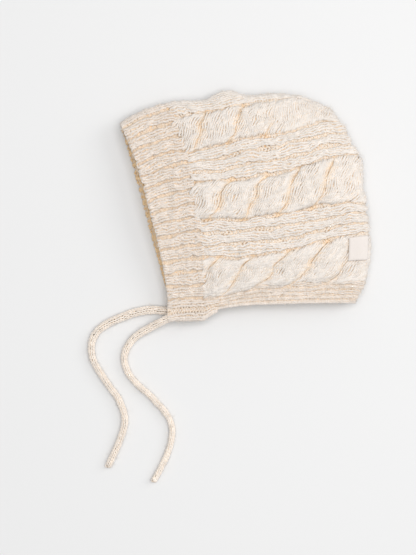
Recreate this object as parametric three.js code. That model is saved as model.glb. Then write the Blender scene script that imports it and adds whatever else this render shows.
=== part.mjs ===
// A hand-knitted baby bonnet that lies on its side, in millimetres.
// +X runs from the face edge to the back of the head, +Y from the neck edge to the crown,
// and +Z up from the surface it lies on. The origin is the middle of its footprint.

import * as THREE from 'three';
import { mergeVertices } from 'three/addons/utils/BufferGeometryUtils.js';

// Fabric
const wall = 3.6;          // thickness of the knitted fabric
const gap = 0.3;           // clearance between neighbouring pieces
const courseHeight = 2.5;  // one row of stitches, flat
const foldReach = 10;      // how far the rounding of the crown fold reaches in from the outline
const backReach = 9;       // the same for the centre-back seam
const foldHeight = 9.8;    // height of the fold line and of the seam
const bonnetDepth = 157;   // from the face edge to the back seam, lying flat
const farHeight = wall / 2;

// Knitting: wales are columns of stitches, counted from the crown fold to the neck edge.
// Courses are rows of stitches, counted from the face edge to the back seam.
const bandWales = 64;
const bodyWales = 60;
const courses = 64;
const bandCourses = 14.9;  // depth of the ribbed face band
const neckWales = 8;       // depth of the ribbed neck band
const ribDepth = 1.7;      // how far the valleys of the face band lie below its ridges
const panelDepth = 1.6;    // the same for the ribs between the cables
const cableRise = 2.6;     // how far a cable stands up
const strandDive = 0.34;   // share of a strand's width over which it dives under its neighbour
const neckRibDepth = 0.9;

// How far the lower layer shows past the upper one at the face edge, and lies back at the neck edge
const faceLag = 3.9;
const neckLag = 3.6;
const bowShape = 3;        // how squarely the sections bow: 2 is a parabola

// Ties and label
const nearTieSize = 5.4;
const farTieSize = 5.8;
const tieSides = 8;
const tieStep = 12;        // length of one step along a tie
const labelThickness = 0.8;
const labelLift = 0.5;

// One row for each section from the face edge to the back seam: where it starts at the crown fold,
// where it ends at the neck edge, and how far it bows towards the back between them.
const sections = [
  { at: 0.0, topX: -89.6, topY: 55.5, neckX: -54.7, neckY: -79.2, bow: 5.2 },
  { at: 0.1, topX: -76.0, topY: 63.4, neckX: -46.1, neckY: -78.9, bow: 6.9 },
  { at: 0.2, topX: -61.6, topY: 68.9, neckX: -35.0, neckY: -78.6, bow: 8.5 },
  { at: 0.3, topX: -46.3, topY: 71.1, neckX: -22.7, neckY: -77.5, bow: 10.0 },
  { at: 0.4, topX: -30.4, topY: 72.6, neckX: -9.6, neckY: -75.3, bow: 11.1 },
  { at: 0.5, topX: -14.6, topY: 76.7, neckX: 4.2, neckY: -73.9, bow: 12.1 },
  { at: 0.6, topX: 0.4, topY: 75.8, neckX: 18.6, neckY: -73.4, bow: 13.1 },
  { at: 0.7, topX: 15.8, topY: 76.6, neckX: 33.3, neckY: -73.0, bow: 14.2 },
  { at: 0.8, topX: 30.9, topY: 75.8, neckX: 48.3, neckY: -72.7, bow: 15.2 },
  { at: 0.9, topX: 45.5, topY: 72.3, neckX: 63.5, neckY: -72.6, bow: 16.3 },
  { at: 1.0, topX: 60.8, topY: 66.3, neckX: 78.9, neckY: -72.7, bow: 17.3 },
];

// Height of the upper layer's middle above the surface, from the crown fold to the neck edge
const heights = [
  { at: 0.00, crown: 17.0, upper: 20.0, middle: 20.5, lower: 16.0, neck: 10.0 },
  { at: 0.25, crown: 18.0, upper: 22.0, middle: 23.0, lower: 19.0, neck: 12.0 },
  { at: 0.50, crown: 19.0, upper: 24.0, middle: 25.0, lower: 21.0, neck: 13.0 },
  { at: 0.75, crown: 19.0, upper: 24.0, middle: 25.0, lower: 21.0, neck: 13.0 },
  { at: 1.00, crown: 17.0, upper: 21.0, middle: 22.0, lower: 18.0, neck: 12.0 },
];

// Where the lines between the knitted panels run, as shares of the way from the crown to the neck
const panelLines = [
  { name: 'crown', wale: 0, face: 0.0, front: 0.0, middle: 0.0, rear: 0.0, back: 0.0 },
  { name: 'upper cable top', wale: 5, face: 0.1, front: 0.1, middle: 0.1, rear: 0.055, back: 0.02 },
  { name: 'upper cable foot', wale: 14, face: 0.257, front: 0.257, middle: 0.228, rear: 0.19, back: 0.1 },
  { name: 'middle cable top', wale: 24, face: 0.408, front: 0.412, middle: 0.422, rear: 0.372, back: 0.28 },
  { name: 'middle cable foot', wale: 33, face: 0.565, front: 0.573, middle: 0.586, rear: 0.556, back: 0.5 },
  { name: 'lower cable top', wale: 43, face: 0.755, front: 0.762, middle: 0.779, rear: 0.736, back: 0.655 },
  { name: 'neck band top', wale: 52, face: 0.94, front: 0.938, middle: 0.918, rear: 0.905, back: 0.89 },
  { name: 'neck edge', wale: 60, face: 1.0, front: 1.0, middle: 1.0, rear: 1.0, back: 1.0 },
];

// Rope cables: the course where the first strand is widest, the courses from one strand to the next,
// the courses by which a strand leans, and the part of the depth over which the cable flattens out
const cables = [
  { name: 'upper', fromWale: 5, toWale: 14, first: 15, pitch: 10.6, lean: 8.2, flatFrom: 0.58, flatTo: 0.7 },
  { name: 'middle', fromWale: 24, toWale: 33, first: 16.4, pitch: 9.9, lean: 8.6, flatFrom: 0.82, flatTo: 0.9 },
  { name: 'lower', fromWale: 43, toWale: 52, first: 19.8, pitch: 10.3, lean: 9.8, flatFrom: 0.82, flatTo: 0.9 },
];

// Ribbed panels beside the cables: the wale where a panel starts, and how many ridges it has
const ribPanels = [
  { name: 'crown', fromWale: 0, ridges: 1, offset: -0.5 },
  { name: 'upper', fromWale: 14, ridges: 3, offset: 0.5 },
  { name: 'lower', fromWale: 33, ridges: 3, offset: 0.5 },
];

// Route of each tie's middle line, from where it is sewn on to its free end
const nearTieRoute = [
  { x: -29.9, y: -81.4, z: 12.0 },
  { x: -40.0, y: -81.7, z: 11.4 },
  { x: -50.8, y: -82.5, z: 10.3 },
  { x: -58.8, y: -85.8, z: 8.7 },
  { x: -67.8, y: -90.6, z: 6.2 },
  { x: -77.0, y: -96.0, z: 4.2 },
  { x: -83.7, y: -103.0, z: 3.1 },
  { x: -86.9, y: -111.6, z: 2.9 },
  { x: -85.5, y: -120.2, z: 2.9 },
  { x: -80.8, y: -128.2, z: 2.9 },
  { x: -65.7, y: -142.6, z: 2.9 },
  { x: -54.1, y: -157.0, z: 2.9 },
  { x: -52.2, y: -168.0, z: 2.9 },
  { x: -57.2, y: -185.8, z: 2.9 },
  { x: -66.7, y: -203.4, z: 2.9 },
];
const farTieRoute = [
  { x: -37.8, y: -79.1, z: 3.1 },
  { x: -46.4, y: -79.0, z: 3.1 },
  { x: -56.0, y: -78.5, z: 3.1 },
  { x: -68.0, y: -77.9, z: 3.1 },
  { x: -79.6, y: -79.9, z: 3.1 },
  { x: -90.4, y: -83.9, z: 3.1 },
  { x: -99.7, y: -88.2, z: 3.1 },
  { x: -106.2, y: -93.2, z: 3.1 },
  { x: -110.1, y: -100.1, z: 3.1 },
  { x: -110.8, y: -108.0, z: 3.1 },
  { x: -108.6, y: -115.9, z: 3.1 },
  { x: -99.7, y: -130.3, z: 3.1 },
  { x: -90.6, y: -143.6, z: 3.1 },
  { x: -86.5, y: -157.7, z: 3.1 },
  { x: -90.1, y: -172.1, z: 3.1 },
  { x: -99.4, y: -193.0, z: 3.1 },
];

// The label lies on the upper layer just in front of the back seam
const label = { depthFrom: 0.891, depthTo: 0.9625, waleFrom: 43.3, waleTo: 47.9, rows: 3, columns: 3 };

const clamp = (value, low, high) => Math.min(high, Math.max(low, value));

function smooth(low, high, value) {
  const x = clamp((value - low) / (high - low), 0, 1);
  return x * x * (3 - 2 * x);
}

// A smooth curve through evenly spaced values, read at t from 0 to 1
function along(values, t) {
  const last = values.length - 1;
  const place = clamp(t, 0, 1) * last;
  const i = Math.min(last - 1, Math.floor(place));
  const x = place - i;
  const before = values[Math.max(0, i - 1)];
  const after = values[Math.min(last, i + 2)];
  const startSlope = (values[i + 1] - before) / 2;
  const endSlope = (after - values[i]) / 2;
  const rise = values[i + 1] - values[i];
  return values[i] + x * startSlope
    + x * x * (3 * rise - 2 * startSlope - endSlope)
    + x * x * x * (startSlope + endSlope - 2 * rise);
}

const column = (table, key) => table.map((row) => row[key]);
const topX = column(sections, 'topX');
const topY = column(sections, 'topY');
const neckX = column(sections, 'neckX');
const neckY = column(sections, 'neckY');
const bows = column(sections, 'bow');
const heightColumns = ['crown', 'upper', 'middle', 'lower', 'neck'].map((key) => column(heights, key));
const lineStations = panelLines.map((line) => [line.face, line.front, line.middle, line.rear, line.back]);

function upperHeight(depth, down) {
  return along(heightColumns.map((values) => along(values, depth)), down);
}

// Where a wale of the body lies between crown and neck, and how that share unrolls round the fold
function waleShare(wale, depth) {
  const last = panelLines.length - 1;
  let i = 0;
  while (i < last - 1 && wale > panelLines[i + 1].wale) {
    i += 1;
  }
  const x = (wale - panelLines[i].wale) / (panelLines[i + 1].wale - panelLines[i].wale);
  const from = along(lineStations[i], depth);
  const to = along(lineStations[i + 1], depth);
  return from + (to - from) * x;
}

// Depth of a course in the flat outline, and how far it has turned down towards the back seam
function courseDepth(course) {
  const unrolled = bonnetDepth + (Math.PI / 2 - 1) * backReach;
  const left = (1 - course / courses) * unrolled;
  const turn = Math.min(left / backReach, Math.PI / 2);
  const flat = left - turn * backReach + (1 - Math.cos(turn)) * backReach;
  return { depth: 1 - flat / bonnetDepth, rise: Math.sin(turn) };
}

// The middle of the fabric. share runs from the crown fold (0) to the neck edge (1),
// and side is 1 on the upper layer and -1 on the lower one.
function middle(course, share, side) {
  const { depth, rise } = courseDepth(course);
  const fold = { x: along(topX, depth), y: along(topY, depth) };
  const neck = { x: along(neckX, depth), y: along(neckY, depth) };
  const length = Math.hypot(neck.x - fold.x, neck.y - fold.y) + 3;
  const left = share * (length + (Math.PI / 2 - 1) * foldReach);
  const turn = Math.min(left / foldReach, Math.PI / 2);
  const down = (left - turn * foldReach + (1 - Math.cos(turn)) * foldReach) / length;
  const lift = Math.sin(turn) * rise;
  const bow = along(bows, depth) * (1 - Math.abs(2 * down - 1) ** bowShape);
  const point = new THREE.Vector3(
    fold.x + (neck.x - fold.x) * down + bow,
    fold.y + (neck.y - fold.y) * down,
    foldHeight + (upperHeight(depth, down) - foldHeight) * lift,
  );
  if (side < 0) {
    point.z = foldHeight + (farHeight - foldHeight) * lift;
    const showing = Math.sqrt(Math.sin(Math.PI * clamp(down * 1.12, 0, 1)));
    point.x -= faceLag * showing * (1 - smooth(0, 0.35, depth));
    point.y += neckLag * down ** 6 * (1 - 0.65 * smooth(0.1, 0.5, depth));
  }
  return point;
}

// A point at a distance outside the middle of the fabric, square to it
function surfacePoint(course, share, side, distance) {
  const step = 0.4;
  const near = Math.min(course, courses - 0.02);
  const from = Math.max(0, near - step);
  const to = Math.min(courses - 0.01, near + step);
  const low = Math.max(0.002, share - 0.004);
  const high = Math.min(1, share + 0.004);
  const alongDepth = middle(to, share, side).sub(middle(from, share, side));
  const alongWales = middle(near, high, side).sub(middle(near, low, side));
  const square = alongWales.cross(alongDepth).normalize().multiplyScalar(side);
  if (share === 0) {
    square.setComponent(2, 0).normalize();
  }
  return middle(course, share, side).addScaledVector(square, distance);
}

// How far a cable stands up. Its strands follow one another: each climbs, leaning towards the
// back, from the cable's foot to its top, lies over the foot of the next strand and dives under
// that strand's top. Between two strands runs a leaning crevice.
function cableHeight(cable, wale, course) {
  const up = (cable.toWale - wale) / (cable.toWale - cable.fromWale);
  const leaning = cable.lean * (up - 0.5 + 0.07 * Math.sin(2 * Math.PI * up));
  const place = (course - leaning - cable.first) / cable.pitch + 0.5;
  const across = place - Math.floor(place);
  const climb = smooth(0.05, 0.95, up);
  const left = 1 - (1 - climb) * Math.exp(-((across / strandDive) ** 2));
  const right = 1 - climb * Math.exp(-(((1 - across) / strandDive) ** 2));
  const ends = Math.sqrt(clamp(Math.min(up, 1 - up) / 0.16, 0, 1));
  return cableRise * left * right * ends;
}

// Ridges and valleys of the body, outside the plain wall. The cables rise as they leave the face band
// and flatten out towards the back seam.
function bodyRelief(wale, course) {
  const { depth } = courseDepth(course);
  const flatten = 1 - smooth(0.82, 0.9, depth);
  const cable = cables.find((row) => wale > row.fromWale && wale < row.toWale);
  if (cable) {
    const emerging = 0.3 + 0.7 * smooth(bandCourses, bandCourses + 3, course);
    const fading = 1 - smooth(cable.flatFrom, cable.flatTo, depth);
    return cableHeight(cable, wale, course) * fading * emerging;
  }
  const panel = ribPanels.find((row) => wale >= row.fromWale && wale <= row.fromWale + 3 * row.ridges + 1);
  if (panel) {
    const phase = (wale - panel.fromWale - panel.offset) / 3;
    return -panelDepth * (0.5 + 0.5 * Math.cos(2 * Math.PI * phase)) * (0.4 + 0.6 * flatten);
  }
  if (wale > bodyWales - neckWales) {
    return -neckRibDepth * (0.5 + 0.5 * Math.cos(Math.PI * (wale - bodyWales + neckWales)));
  }
  return -panelDepth / 2;
}

// Ridges two stitches wide with narrow valleys between them
function bandRelief(wale) {
  const fromValley = Math.abs(((wale + 2) % 4) - 2) / 2;
  return -ribDepth * (1 - smooth(0.2, 0.75, fromValley));
}

// The lower layer is pressed flat where it rests
function reliefShare(course, share, side) {
  if (side > 0) {
    return 1;
  }
  const point = middle(course, share, side);
  return smooth(farHeight + 1.5, foldHeight, point.z) * 0.9;
}

// Adds the triangles of a sheet, given as rows of points
function addSheet(triangles, rows, outward) {
  for (let i = 0; i + 1 < rows.length; i += 1) {
    for (let j = 0; j + 1 < rows[i].length; j += 1) {
      const [a, b, c, d] = [rows[i][j], rows[i + 1][j], rows[i + 1][j + 1], rows[i][j + 1]];
      if (outward) {
        triangles.push([a, c, b], [a, d, c]);
      } else {
        triangles.push([a, b, c], [a, c, d]);
      }
    }
  }
}

// Closes the slit between the edges of the outer and the inner sheet
function addRim(triangles, outer, inner, outward) {
  let i = 0;
  let j = 0;
  while (i + 1 < outer.length || j + 1 < inner.length) {
    const outerNext = i + 1 < outer.length ? (i + 1) / (outer.length - 1) : 2;
    const innerNext = j + 1 < inner.length ? (j + 1) / (inner.length - 1) : 2;
    const third = outerNext <= innerNext ? outer[i + 1] : inner[j + 1];
    triangles.push(outward ? [outer[i], third, inner[j]] : [outer[i], inner[j], third]);
    if (outerNext <= innerNext) {
      i += 1;
    } else {
      j += 1;
    }
  }
}

function closedGeometry(triangles) {
  const positions = [];
  triangles.forEach((corners) => {
    const [a, b, c] = corners;
    const area = b.clone().sub(a).cross(c.clone().sub(a)).length();
    if (area > 1e-7) {
      corners.forEach((corner) => positions.push(corner.x, corner.y, corner.z));
    }
  });
  const geometry = new THREE.BufferGeometry();
  geometry.setAttribute('position', new THREE.Float32BufferAttribute(positions, 3));
  return mergeVertices(geometry, 1e-4);
}

const firstOf = (rows) => rows.map((row) => row[0]);
const lastOf = (rows) => rows.map((row) => row[row.length - 1]);

// A shell between two sheets. A shell that closes at the back seam has no rim in its last row.
function shellGeometry(outer, inner, closesAtBack) {
  const triangles = [];
  addSheet(triangles, outer, true);
  addSheet(triangles, inner, false);
  addRim(triangles, outer[0], inner[0], false);
  if (!closesAtBack) {
    addRim(triangles, outer[outer.length - 1], inner[inner.length - 1], true);
  }
  addRim(triangles, firstOf(outer), firstOf(inner), true);
  addRim(triangles, lastOf(outer), lastOf(inner), false);
  return closedGeometry(triangles);
}

// Even steps between two values, the last of them exact
function steps(from, to, count) {
  return Array.from({ length: count + 1 }, (unused, i) => from + (to - from) * (i / count));
}

// Wales over the whole bonnet: the lower layer's are negative and run up to the crown fold
const bothLayers = (wales) => [...wales.slice(1).reverse().map((wale) => -wale), ...wales];

function makeKnit(name, geometry, colour, roughness) {
  const material = new THREE.MeshStandardMaterial({ color: colour, roughness, metalness: 0 });
  geometry.computeVertexNormals();
  const mesh = new THREE.Mesh(geometry, material);
  mesh.name = name;
  return mesh;
}

// The ribbed face band, folded over the crown
function faceBand() {
  const place = (course, wale, distance, relief) => {
    const side = wale < 0 ? -1 : 1;
    const share = Math.abs(wale) / bandWales;
    const raised = relief * reliefShare(course, share, side);
    return surfacePoint(course, share, side, distance + raised);
  };
  const last = bandCourses - 1.5 * gap / courseHeight;
  const outerWales = bothLayers(steps(0, bandWales, bandWales).filter((wale) => wale % 4 !== 2));
  const innerWales = bothLayers([0, 2, 4, 6, 8, ...steps(10, bandWales, 18)]);
  const outer = steps(0, last, 3).map((course) => (
    outerWales.map((wale) => place(course, wale, wall / 2, bandRelief(Math.abs(wale))))));
  const inner = steps(0, last, 2).map((course) => (
    innerWales.map((wale) => place(course, wale, -wall / 2, 0))));
  return shellGeometry(outer, inner, false);
}

// Courses from the face band to the back seam, closer together where the fabric turns down
function bodyCourses(count) {
  const first = bandCourses + 1.5 * gap / courseHeight;
  return [...steps(first, 57, count), 58.8, 60.2, 61.4, 62.4, 63.2, courses];
}

// A part of the body between two wales, on both layers, joined along the back seam
function bodyPoint(course, wale, side, distance, relief) {
  const { depth } = courseDepth(course);
  const share = waleShare(Math.abs(wale), depth);
  const facing = course === courses ? 1 : side;
  return surfacePoint(course, share, facing, distance + relief * reliefShare(course, share, facing));
}

function crown() {
  const widest = bodyWales - neckWales - 0.12;
  const across = [0, 1, 2, 3.2, 4.2];
  cables.forEach((cable, i) => {
    across.push(...steps(cable.fromWale + 0.4, cable.toWale - 0.4, 7));
    if (i < 2) {
      across.push(...steps(cable.toWale + 0.5, cable.toWale + 9.5, 6));
    }
  });
  across.push(widest);
  const outerWales = bothLayers(across);
  const innerWales = bothLayers([0, 1, 2.2, 3.5, 5, 7, ...steps(9, widest, 14)]);
  const sideOf = (wale) => (wale < 0 ? -1 : 1);
  const outer = bodyCourses(30).map((course) => outerWales.map((wale) => (
    bodyPoint(course, wale, sideOf(wale), wall / 2, bodyRelief(Math.abs(wale), course)))));
  const inner = bodyCourses(9).map((course) => innerWales.map((wale) => (
    bodyPoint(course, wale, sideOf(wale), -wall / 2, 0))));
  return shellGeometry(outer, inner, true);
}

// The neck band runs along the upper layer to the back seam and back along the lower layer
function neckBand() {
  const across = [bodyWales - neckWales + 0.12, ...steps(bodyWales - neckWales + 1, bodyWales, 7)];
  const run = (count) => {
    const there = bodyCourses(count);
    return [
      ...there.map((course) => ({ course, side: 1 })),
      ...there.slice(0, -1).reverse().map((course) => ({ course, side: -1 })),
    ];
  };
  const outer = run(14).map(({ course, side }) => across.map((wale) => (
    bodyPoint(course, wale, side, wall / 2, bodyRelief(wale, course)))));
  const inner = run(9).map(({ course, side }) => [across[0], bodyWales].map((wale) => (
    bodyPoint(course, wale, side, -wall / 2, 0))));
  return shellGeometry(outer, inner, false);
}

// A woven tab that follows the fabric under it
function wovenLabel() {
  const low = wall / 2 + labelLift;
  const grid = (distance) => steps(label.depthFrom, label.depthTo, label.rows).map((depth) => {
    const course = depth * courses;
    return steps(label.waleFrom, label.waleTo, label.columns).map((wale) => (
      bodyPoint(course, wale, 1, distance, 0)));
  });
  return shellGeometry(grid(low + labelThickness), grid(low), false);
}

function tie(route, size) {
  const points = route.map(({ x, y, z }) => new THREE.Vector3(x, y, z));
  const line = new THREE.CatmullRomCurve3(points, false, 'centripetal');
  const outline = new THREE.Shape(steps(0, 2 * Math.PI, tieSides).slice(0, -1).map((angle) => (
    new THREE.Vector2(Math.cos(angle) * size / 2, Math.sin(angle) * size / 2))));
  return new THREE.ExtrudeGeometry(outline, {
    steps: Math.round(line.getLength() / tieStep),
    extrudePath: line,
    bevelEnabled: false,
  });
}

const bonnet = new THREE.Group();
bonnet.add(makeKnit('ribbed_face_band', faceBand(), 0xebdfcd, 0.95));
bonnet.add(makeKnit('cable_crown', crown(), 0xeee2d1, 0.95));
bonnet.add(makeKnit('neck_band', neckBand(), 0xebdecb, 0.95));
bonnet.add(makeKnit('near_tie', tie(nearTieRoute, nearTieSize), 0xeadcc8, 0.95));
bonnet.add(makeKnit('far_tie', tie(farTieRoute, farTieSize), 0xe8d9c4, 0.95));
bonnet.add(makeKnit('woven_label', wovenLabel(), 0xf3e6de, 0.7));

export default bonnet;
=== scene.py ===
# Looks of a hand-knitted baby bonnet that lies on its side, built stitch by stitch.
import math
import bpy
import numpy as np
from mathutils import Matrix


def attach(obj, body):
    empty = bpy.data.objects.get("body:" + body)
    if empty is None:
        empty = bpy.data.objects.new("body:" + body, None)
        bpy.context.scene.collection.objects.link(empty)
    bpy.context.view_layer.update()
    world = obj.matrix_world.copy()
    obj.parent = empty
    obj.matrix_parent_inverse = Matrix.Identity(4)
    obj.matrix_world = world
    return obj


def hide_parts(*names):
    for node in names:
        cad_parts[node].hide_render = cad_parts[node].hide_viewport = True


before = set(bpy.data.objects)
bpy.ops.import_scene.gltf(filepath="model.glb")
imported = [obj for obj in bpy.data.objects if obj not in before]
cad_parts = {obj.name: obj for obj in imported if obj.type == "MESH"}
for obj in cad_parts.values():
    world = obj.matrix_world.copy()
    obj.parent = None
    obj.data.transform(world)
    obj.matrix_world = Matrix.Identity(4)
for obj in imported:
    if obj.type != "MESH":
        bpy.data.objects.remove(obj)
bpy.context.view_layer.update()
scene = bpy.context.scene
scene.view_settings.view_transform = "Standard"
scene.view_settings.look = "None"

# shape, in millimetres
fabric = {
    "stitchWide": 2.9,
    "stitchHigh": 2.5,
    "wall": 3.6,
    "foldReach": 10.0,
    "backReach": 9.0,
    "foldHeight": 9.8,
    "pressedSink": 0.1,   # how much lower the far layer's yarn lies, and its valleys where it rests
    "pressedValley": 0.45,
    "depth": 157.0,
    "bandWales": 64,
    "bodyWales": 60,
    "courses": 64,
    "bandCourses": 14.9,
    "faceLag": 3.9,
    "neckLag": 3.6,
    "bowShape": 3,
}
topX = np.array([-89.6, -76.0, -61.6, -46.3, -30.4, -14.6, 0.4, 15.8, 30.9, 45.5, 60.8])
topY = np.array([55.5, 63.4, 68.9, 71.1, 72.6, 76.7, 75.8, 76.6, 75.8, 72.3, 66.3])
neckX = np.array([-54.7, -46.1, -35.0, -22.7, -9.6, 4.2, 18.6, 33.3, 48.3, 63.5, 78.9])
neckY = np.array([-79.2, -78.9, -78.6, -77.5, -75.3, -73.9, -73.4, -73.0, -72.7, -72.6, -72.7])
bows = np.array([5.2, 6.9, 8.5, 10.0, 11.1, 12.1, 13.1, 14.2, 15.2, 16.3, 17.3])
heights = np.array([  # one row from face to back, one column from crown to neck
    [17.0, 20.0, 20.5, 16.0, 10.0],
    [18.0, 22.0, 23.0, 19.0, 12.0],
    [19.0, 24.0, 25.0, 21.0, 13.0],
    [19.0, 24.0, 25.0, 21.0, 13.0],
    [17.0, 21.0, 22.0, 18.0, 12.0],
])
lineWales = np.array([0, 5, 14, 24, 33, 43, 52, 60], float)
lineShares = np.array([  # where those wales run, from face to back
    [0.0, 0.0, 0.0, 0.0, 0.0],
    [0.1, 0.1, 0.1, 0.055, 0.02],
    [0.257, 0.257, 0.228, 0.19, 0.1],
    [0.408, 0.412, 0.422, 0.372, 0.28],
    [0.565, 0.573, 0.586, 0.556, 0.5],
    [0.755, 0.762, 0.779, 0.736, 0.655],
    [0.94, 0.938, 0.918, 0.905, 0.89],
    [1.0, 1.0, 1.0, 1.0, 1.0],
])
cables = [  # edges in wales, crossings in courses, and between which depths each flattens out
    {"fromWale": 5, "toWale": 14, "first": 15.0, "pitch": 10.6, "lean": 8.2, "flat": (0.58, 0.70)},
    {"fromWale": 24, "toWale": 33, "first": 16.4, "pitch": 9.9, "lean": 8.6, "flat": (0.84, 0.94)},
    {"fromWale": 43, "toWale": 52, "first": 19.8, "pitch": 10.3, "lean": 9.8, "flat": (0.84, 0.94)},
]


def smooth(low, high, value):
    x = np.clip((value - low) / (high - low), 0, 1)
    return x * x * (3 - 2 * x)


def along(values, t):  # a smooth curve through evenly spaced values, one set or one for each point
    last = len(values) - 1
    place = np.clip(t, 0, 1) * last
    i = np.minimum(last - 1, place.astype(int))
    x = place - i
    if values.ndim == 1:
        pick = lambda k: values[k]
    else:
        pick = lambda k: np.take_along_axis(values, k[None, :], 0)[0]
    here, there = pick(i), pick(i + 1)
    startSlope = (there - pick(np.maximum(0, i - 1))) / 2
    endSlope = (pick(np.minimum(last, i + 2)) - here) / 2
    rise = there - here
    return (here + x * startSlope + x * x * (3 * rise - 2 * startSlope - endSlope)
            + x * x * x * (startSlope + endSlope - 2 * rise))


# how deep a course lies, from 0 at the face edge to 1 at the back seam, and how far it is up the turn there
def courseDepth(course):
    reach = fabric["backReach"]
    unrolled = fabric["depth"] + (math.pi / 2 - 1) * reach
    left = (1 - course / fabric["courses"]) * unrolled
    turn = np.minimum(left / reach, math.pi / 2)
    flat = left - turn * reach + (1 - np.cos(turn)) * reach
    return 1 - flat / fabric["depth"], np.sin(turn)


def depthOf(course):
    return courseDepth(np.clip(course, 0, fabric["courses"] - 0.02))[0]


def waleShare(wale, depth):  # how far down a wale lies, from 0 at the crown fold to 1 at the neck edge
    i = np.clip(np.searchsorted(lineWales, wale, side="right") - 1, 0, len(lineWales) - 2)
    x = (wale - lineWales[i]) / (lineWales[i + 1] - lineWales[i])
    lines = np.array([along(row, depth) for row in lineShares])
    start = np.take_along_axis(lines, i[None, :], 0)[0]
    end = np.take_along_axis(lines, i[None, :] + 1, 0)[0]
    return start + (end - start) * x


# the middle of the fabric, with side 1 for the near layer and -1 for the far one
def middle(course, share, side):
    depth, rise = courseDepth(course)
    foldX, foldY = along(topX, depth), along(topY, depth)
    endX, endY = along(neckX, depth), along(neckY, depth)
    length = np.hypot(endX - foldX, endY - foldY) + 3
    reach = fabric["foldReach"]
    left = share * (length + (math.pi / 2 - 1) * reach)
    turn = np.minimum(left / reach, math.pi / 2)
    down = (left - turn * reach + (1 - np.cos(turn)) * reach) / length
    lift = np.sin(turn) * rise
    bow = along(bows, depth) * (1 - np.abs(2 * down - 1) ** fabric["bowShape"])
    x = foldX + (endX - foldX) * down + bow
    y = foldY + (endY - foldY) * down
    rest = fabric["foldHeight"]
    if side > 0:
        upper = along(np.array([along(column, depth) for column in heights.T]), down)
        z = rest + (upper - rest) * lift
    else:
        z = rest + (fabric["wall"] / 2 - rest) * lift
        showing = np.sqrt(np.maximum(0, np.sin(math.pi * np.clip(down * 1.12, 0, 1))))
        x = x - fabric["faceLag"] * showing * (1 - smooth(0, 0.35, depth))
        y = y + fabric["neckLag"] * down ** 6 * (1 - 0.65 * smooth(0.1, 0.5, depth))
    return np.stack([x, y, z], 1)


def surface(course, share, side, distance):  # points at a distance outside the middle of the fabric
    course = np.clip(course, -1.0, fabric["courses"] - 0.02)
    share = np.clip(share, 0.0, 1.01)
    step = 0.4
    before = middle(course - step, share, side)
    after = middle(np.minimum(course + step, fabric["courses"] - 0.01), share, side)
    low = middle(course, np.maximum(share - 0.004, 0.0), side)
    high = middle(course, share + 0.004, side)
    square = np.cross(high - low, after - before) * side
    square /= np.linalg.norm(square, axis=1)[:, None] + 1e-9
    return middle(course, share, side) + square * distance[:, None], square


# stitches
stitch = {
    "loopHeight": 0.90,   # as a share of the distance between rows
    "loopDepth": 0.52,    # in mm, to each side of the fabric
    "bulge": 0.17,        # in wales
    "yarnRadius": 0.90,
    "samples": {1: 8, -1: 6},   # points along a stitch and sides of the yarn, near and far layer
    "sides": {1: 5, -1: 4},
    "unevenness": 1.05,
    "wander": 0.42,       # how far rows and columns wander, in stitches
    "farShade": 2.4,      # painted shade: how much deeper the far face edge, shaded by the near layer, reads in colour
    "bodyRows": {1: (15.45, 63.7, 57), -1: (15.5, 63.7, 49)},   # first, last and number, in courses
    "splitCourse": 39,    # where the near half of the crown is cut into a front and a back piece
    "edgeWidth": 0.92,    # yarn of the neck edge, as a share of the rest
    "purlThin": 0.35,     # how much thinner the yarn lies in the sides of a purl stitch
    "spread": {"wale": 0.06, "course": 0.07, "bulge": 0.12, "height": 0.05, "depth": 0.25},
    "lumpiness": 0.14,    # how much thicker and thinner hand-spun yarn gets, within these limits
    "thickness": (0.78, 1.28),
    "seed": 7,
}
waves = {   # share, size in mm and seed of each wave in which columns and rows wander
    "wale": ((0.6, 17.0, 31), (0.4, 7.0, 32)),
    "course": ((0.8, 15.0, 33),),
}
chance = np.random.default_rng(stitch["seed"])


def lumps(x, y, scale, seed):  # slow, soft unevenness of hand knitting, about -1 to 1
    turn = np.random.default_rng(seed)
    total = np.zeros_like(x)
    for k in range(7):
        a = turn.uniform(0, 2 * math.pi)
        f = turn.uniform(0.6, 1.5) / scale
        total += np.sin((x * math.cos(a) + y * math.sin(a)) * f * 2 * math.pi + turn.uniform(0, 6.28))
    return total / 2.6


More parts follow.
